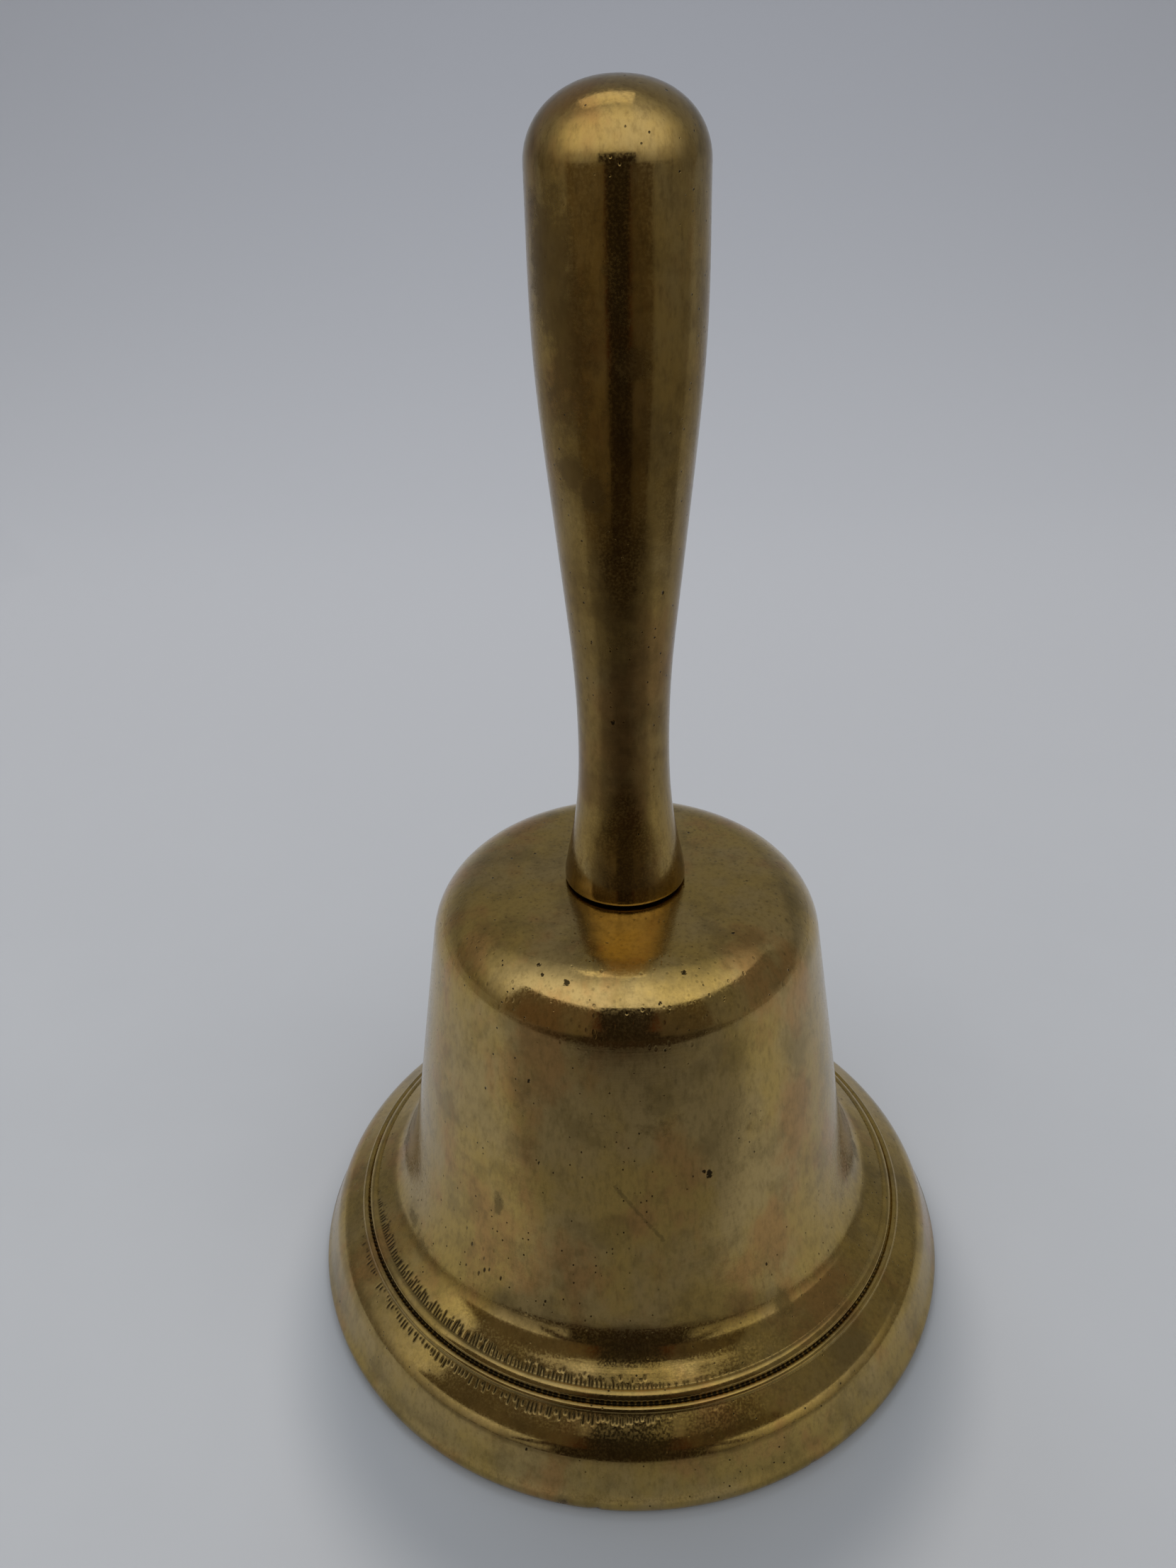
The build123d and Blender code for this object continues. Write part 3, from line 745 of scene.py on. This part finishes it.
def paper(name):
    """Pale paper with painted light: a contact shadow by the bell, light falling off up the back and paler
    again high up; clear under the mouth and from underneath.
    """
    s = Shader(name, Roughness=0.9)
    tint = s.step(s.noise(18, 3, 0.6), 0.35, 0.65)
    colour = s.mix(tint, (0.470, 0.484, 0.522), (0.460, 0.474, 0.512))
    _, depth, height = s.node("ShaderNodeSeparateXYZ", Vector=s.place).outputs
    # painted falloff of light: darker towards the back, then paler again high up the sweep
    colour = s.mix(s.step(depth, -0.04, 0.25), colour, (0.430, 0.438, 0.474))
    colour = s.mix(s.step(depth, 0.20, 0.95), colour, (0.285, 0.297, 0.340))
    colour = s.mix(s.step(height, 0.4, 0.8), colour, (0.43, 0.435, 0.45))
    # painted contact shadow: darker and bluer close round the bell, reaching furthest in front
    from_bell = s.length(s.vector("MULTIPLY", s.vector("ADD", s.place, (0, 0.012, 0)), (1.12, 1, 1)))
    colour = s.mix(s.step(from_bell, 0.065, 0.049, 0.0, 0.8), colour, (0.265, 0.288, 0.33))
    s.finish(Base_Color=colour)
    mouth = s.math("LESS_THAN", s.length(s.place), HOLE_R)
    behind = s.node("ShaderNodeNewGeometry").outputs["Backfacing"]
    clear = s.node("ShaderNodeBsdfTransparent")
    return s.show(s.blend(s.math("MAXIMUM", mouth, behind), s.surface, clear))


def glow(name, colour):
    s = Shader(name)
    return s.show(s.node("ShaderNodeEmission", Color=(*colour, 1)))


def dim_glow(name):
    """The far floor, a glowing sheet: painted shade in front, paler towards the sides and the back."""
    s = Shader(name)
    ahead = s.vector("NORMALIZE", s.vector("MULTIPLY", s.place, (1, 1, 0)))
    back = s.node("ShaderNodeSeparateXYZ", Vector=ahead).outputs[1]
    near = s.mix(s.step(back, -1.0, -0.55), (0.060, 0.048, 0.032), (0.220, 0.205, 0.180))
    colour = s.mix(s.step(back, -0.60, 0.35), near, (0.340, 0.340, 0.335))
    return s.show(s.node("ShaderNodeEmission", Color=colour))


def shade_glow(name):
    """The shade in front of the bell: deeper further away, and soft at its sides."""
    s = Shader(name)
    x, y, _ = s.node("ShaderNodeSeparateXYZ", Vector=s.place).outputs
    aside = s.math("ABSOLUTE", s.math("DIVIDE", x, y))
    near = s.math("MULTIPLY", s.step(y, -0.052, -0.076, 0.0, 0.5), s.step(aside, 2.6, 0.9))
    far = s.math("MULTIPLY", s.step(y, -0.09, -0.24, 0.0, 0.5), s.step(aside, 1.1, 0.2))
    clear = s.node("ShaderNodeBsdfTransparent")
    dark = s.node("ShaderNodeEmission", Color=(0.040, 0.028, 0.020, 1))
    return s.show(s.blend(s.math("ADD", near, far), clear, dark))


def stage_mesh(name, points, faces, material):
    mesh = bpy.data.meshes.new(name)
    mesh.from_pydata([tuple(p) for p in points], [], faces)
    mesh.materials.append(material)
    made = bpy.data.objects.new(name, mesh)
    bpy.context.scene.collection.objects.link(made)
    return made


def reflection(name, points, faces, material):
    """A stage mesh that shows only in the brass."""
    made = stage_mesh(name, points, faces, material)
    made.visible_camera = made.visible_diffuse = made.visible_shadow = False


def card(name, centre, side, up, wide, high, colour):
    """A plain flat card, seen only in the brass."""
    side, up = Vector(side).normalized() * wide / 2, Vector(up).normalized() * high / 2
    points = [Vector(centre) + side * x + up * y for x, y in ((-1, -1), (1, -1), (1, 1), (-1, 1))]
    reflection(name, points, [(0, 1, 2, 3)], glow(name, colour))


def ring_points(angles, radii, z):
    return [(r * math.cos(a), r * math.sin(a), z) for a, r in zip(angles, radii)]


def strip_faces(count):
    """Faces between two rows of count points."""
    return [(i, i + 1, count + i + 1, count + i) for i in range(count - 1)]


def make_sweep():
    """A pale paper floor that curves up behind the bell."""
    turn = np.linspace(0, math.pi / 2, 24)
    profile = [(-PAPER_HALF_WIDE, PAPER_Z)]
    profile += [(PAPER_BEND_Y + PAPER_BEND_R * math.sin(a), PAPER_Z + PAPER_BEND_R * (1 - math.cos(a)))
                for a in turn]
    profile += [(PAPER_BEND_Y + PAPER_BEND_R, PAPER_TOP_Z)]
    points = [(x, y, z) for y, z in profile for x in (-PAPER_HALF_WIDE, PAPER_HALF_WIDE)]
    faces = [(2 * i, 2 * i + 1, 2 * i + 3, 2 * i + 2) for i in range(len(profile) - 1)]
    sweep = stage_mesh("sweep", points, faces, paper("paper"))
    sweep.data.polygons.foreach_set("use_smooth", np.ones(len(faces), bool))


def make_cards():
    """Plain things that the brass mirrors: dim ones before and beside the bell, a pale one over it."""
    side, up = Vector(CAMERA_RIGHT), Vector(PHONE_UP)
    back = side.cross(up)
    lens = Vector(CAMERA_AT) + back * 0.004
    card("near_card", lens - up * 0.062, side, up, 0.078, 0.150, (0.028, 0.021, 0.016))
    card("warm_card", lens - up * 0.056 + back * 0.012, side, up, 0.190, 0.105, (0.085, 0.040, 0.022))
    for way in (-1, 1):
        card(f"arm_card_{way + 1}", (way * 0.165, -0.30, 0.075), (way * 0.75, -0.65, -0.15),
             (0, -0.2, 1), 0.24, 0.055, (0.060, 0.045, 0.036))
    card("far_card", (0.0, -0.36, 0.14), (1, 0, 0), (0, 0, 1), 0.30, 0.28, (0.030, 0.022, 0.016))
    # a bright glowing card, seen only in the brass, that puts the highlight on the dome
    card("dome_card", (-0.012, 0.014, 0.245), (1, 0, 0), (0, 1, 0), 0.060, 0.032, (1.25, 1.20, 1.05))
    for name, start, end, colour in (("left_arc", -62, -16, (0.160, 0.130, 0.090)),
                                     ("right_arc", 16, 42, (0.110, 0.088, 0.062)),
                                     ("pale_arc", 42, 98, (0.210, 0.200, 0.180))):
        turn = np.radians(np.linspace(start, end, ARC_STEPS) - 90)
        rows = [ring_points(turn, [ARC_R] * ARC_STEPS, z) for z in (ARC_LOW_Z, ARC_HIGH_Z)]
        reflection(name, rows[0] + rows[1], strip_faces(ARC_STEPS), glow(name, colour))


def make_dim_floor():
    """The floor beyond the paper and the shade before the bell, as the brass shows them."""
    turn = np.linspace(-math.pi * 1.30, math.pi * 0.30, 72)
    near = ring_points(turn, 0.18 + 0.13 * (1 + np.sin(turn)), DIM_Z)
    far = ring_points(turn, [DIM_FAR_R] * len(turn), DIM_Z)
    reflection("dim_floor", near + far, strip_faces(len(turn)), dim_glow("dim_floor"))
    corners = [(-0.3, -0.34, SHADE_Z), (0.3, -0.34, SHADE_Z), (0.3, -0.05, SHADE_Z), (-0.3, -0.05, SHADE_Z)]
    reflection("shade_floor", corners, [(0, 1, 2, 3)], shade_glow("shade_floor"))


def make_paper_light():
    """A wide lamp over the back of the paper, which the brass doesn't show."""
    place = Vector((-0.10, 0.50, 0.90))
    lamp = bpy.data.lights.new("paper_light", "AREA")
    lamp.shape = "RECTANGLE"
    lamp.size, lamp.size_y = 0.9, 0.5
    lamp.energy = 4.3
    lamp.color = (0.93, 0.97, 1.0)
    made = bpy.data.objects.new("paper_light", lamp)
    made.location = place
    made.rotation_mode = "QUATERNION"
    made.rotation_quaternion = (Vector((0, 0, 0.02)) - place).to_track_quat("-Z", "Y")
    made.visible_glossy = False
    bpy.context.scene.collection.objects.link(made)


def make_room():
    """A dim room with a soft bright patch on its ceiling, and pale from below."""
    world = bpy.data.worlds.new("room")
    bpy.context.scene.world = world
    world.use_nodes = True
    tree = world.node_tree
    way = tree.nodes.new("ShaderNodeTexCoord").outputs["Generated"]

    def towards(direction):
        dot = tree.nodes.new("ShaderNodeVectorMath")
        dot.operation = "DOT_PRODUCT"
        dot.inputs[1].default_value = direction
        tree.links.new(way, dot.inputs[0])
        return dot.outputs["Value"]

    def ramp(value, *stops):
        made = tree.nodes.new("ShaderNodeValToRGB")
        elements = made.color_ramp.elements
        elements[0].position, elements[0].color = stops[0][0], (*stops[0][1], 1)
        elements[1].position, elements[1].color = stops[-1][0], (*stops[-1][1], 1)
        for place, colour in stops[1:-1]:
            elements.new(place).color = (*colour, 1)
        tree.links.new(value, made.inputs[0])
        return made.outputs[0]

    room = ramp(towards((0, 0, 1)), (0.0, (0.19, 0.175, 0.15)), (0.25, (0.23, 0.22, 0.20)),
                (0.5, (0.29, 0.29, 0.28)), (1.0, (0.37, 0.37, 0.36)))
    across = tree.nodes.new("ShaderNodeMath")
    across.operation = "POWER"
    across.inputs[1].default_value = 2.0
    tree.links.new(towards((1, 0, 0)), across.inputs[0])
    widened = tree.nodes.new("ShaderNodeMath")
    widened.operation = "MULTIPLY_ADD"
    tree.links.new(across.outputs[0], widened.inputs[0])
    widened.inputs[1].default_value = 0.45
    tree.links.new(towards((0.0, -0.60, 0.80)), widened.inputs[2])
    patch = ramp(widened.outputs[0], (0.55, (0, 0, 0)), (0.68, (0.14, 0.138, 0.13)),
                 (0.79, (0.32, 0.315, 0.30)), (0.87, (0.60, 0.59, 0.55)), (0.95, (0.84, 0.82, 0.77)))
    under = ramp(towards((0, 0, -1)), (0.0, (0, 0, 0)), (0.2, (0.18, 0.18, 0.18)),
                 (1.0, (0.55, 0.55, 0.55)))

    def plus(a, b):
        total = tree.nodes.new("ShaderNodeVectorMath")
        tree.links.new(a, total.inputs[0])
        tree.links.new(b, total.inputs[1])
        return total.outputs[0]

    tree.links.new(plus(plus(room, patch), under), tree.nodes["Background"].inputs[0])
    tree.nodes["Background"].inputs[1].default_value = 1.0


def make_camera():
    """At the picture's angle: close to the bell, in front and above it."""
    right = Vector(CAMERA_RIGHT).normalized()
    forward = Vector(CAMERA_FORWARD)
    forward = (forward - forward.dot(right) * right).normalized()
    up = right.cross(forward)
    lens = bpy.data.cameras.new("camera")
    lens.sensor_width = 36
    lens.lens = 27.34
    lens.clip_start = 0.01
    camera = bpy.data.objects.new("camera", lens)
    bpy.context.scene.collection.objects.link(camera)
    turn = Matrix((right, up, -forward)).transposed()
    camera.matrix_world = Matrix.Translation(CAMERA_AT) @ turn.to_4x4()
    bpy.context.scene.camera = camera


# ---- Build ----------------------------------------------------------------
make_bell(brass("bell_brass", BELL_TONES, 0.13, BELL_PITS, SCRATCH, inside=True))
make_handle(brass("handle_brass", HANDLE_TONES, 0.14, HANDLE_PITS, turned=0.25))

plated = steel("plated_steel", (0.42, 0.41, 0.38), (0.16, 0.10, 0.05), 0.30, 0.06)
hanger = steel("hanger_steel", (0.24, 0.22, 0.20), (0.15, 0.065, 0.025), 0.38, 0.14)
rod = steel("clapper_steel", (0.30, 0.28, 0.25), (0.15, 0.07, 0.03), 0.32, 0.10)
knocked = brass("clapper_brass", CLAPPER_TONES, 0.24)
washer = leather("foot_leather")
CAD_FINISH = {"foot_washer": washer, "crown_washer": plated, "lock_washer": plated, "crown_nut": plated,
              "hanger_fork": hanger, "pivot_pin": hanger, "clapper_rod": rod, "clapper_ball": knocked,
              "ball_nut": knocked}
for node, material in CAD_FINISH.items():
    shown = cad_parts[node]
    shown.data.materials.clear()
    shown.data.materials.append(material)

make_sweep()
make_cards()
make_dim_floor()
make_paper_light()
make_room()
make_camera()
bpy.context.scene.view_settings.view_transform = "Standard"
